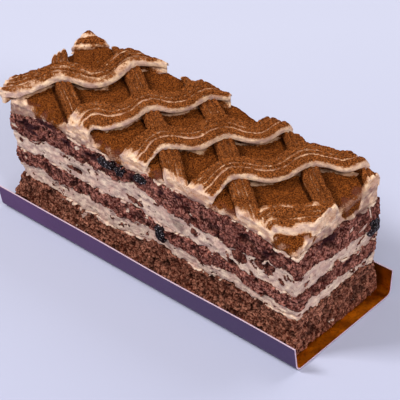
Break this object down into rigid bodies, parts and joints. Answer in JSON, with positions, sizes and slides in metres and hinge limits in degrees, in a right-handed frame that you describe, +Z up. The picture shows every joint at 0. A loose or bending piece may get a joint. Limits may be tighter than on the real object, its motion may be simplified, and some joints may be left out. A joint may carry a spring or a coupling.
{
  "type": "tiramisu slice",
  "caption": "Long cut slice of layered sponge and cream with cherry pieces and crossed, cocoa-dusted piped ribbons on top, standing in a low folded card tray.",
  "frame": {"origin": "centre of the tray's underside, on the surface it stands on", "axes": "+X along the slice towards the cut end that faces the camera, +Y across it towards the far long side, +Z up"},
  "size_m": [0.1332, 0.049, 0.053],
  "materials": {
    "card": "smooth dark purple card, glossy gold-brown inside",
    "sponge_light": "porous, matte",
    "sponge_dark": "porous, soaked",
    "cream": "soft, smeared by the knife",
    "cocoa_cream": "cream dusted with cocoa powder",
    "cherry": "wet, near black"
  },
  "bodies": {
    "root": {"tray": "card", "sponge_bottom": "sponge_light", "sponge_middle": "sponge_dark", "sponge_top": "sponge_dark", "cream_lower": "cream", "cream_middle": "cream", "cream_top": "cocoa_cream", "ribbon_over_1": "cocoa_cream", "ribbon_over_2": "cocoa_cream", "ribbon_over_3": "cocoa_cream", "ribbon_over_4": "cocoa_cream", "ribbon_over_5": "cocoa_cream", "ribbon_over_6": "cocoa_cream", "ribbon_under_1": "cocoa_cream", "ribbon_under_2": "cocoa_cream", "ribbon_under_3": "cocoa_cream", "ribbon_under_4": "cocoa_cream", "ribbon_under_5": "cocoa_cream", "cherry_lower": "cherry", "cherry_upper_left": "cherry", "cherry_upper_middle": "cherry", "cherry_upper_right": "cherry", "cherry_end": "cherry"}
  },
  "joints": []
}
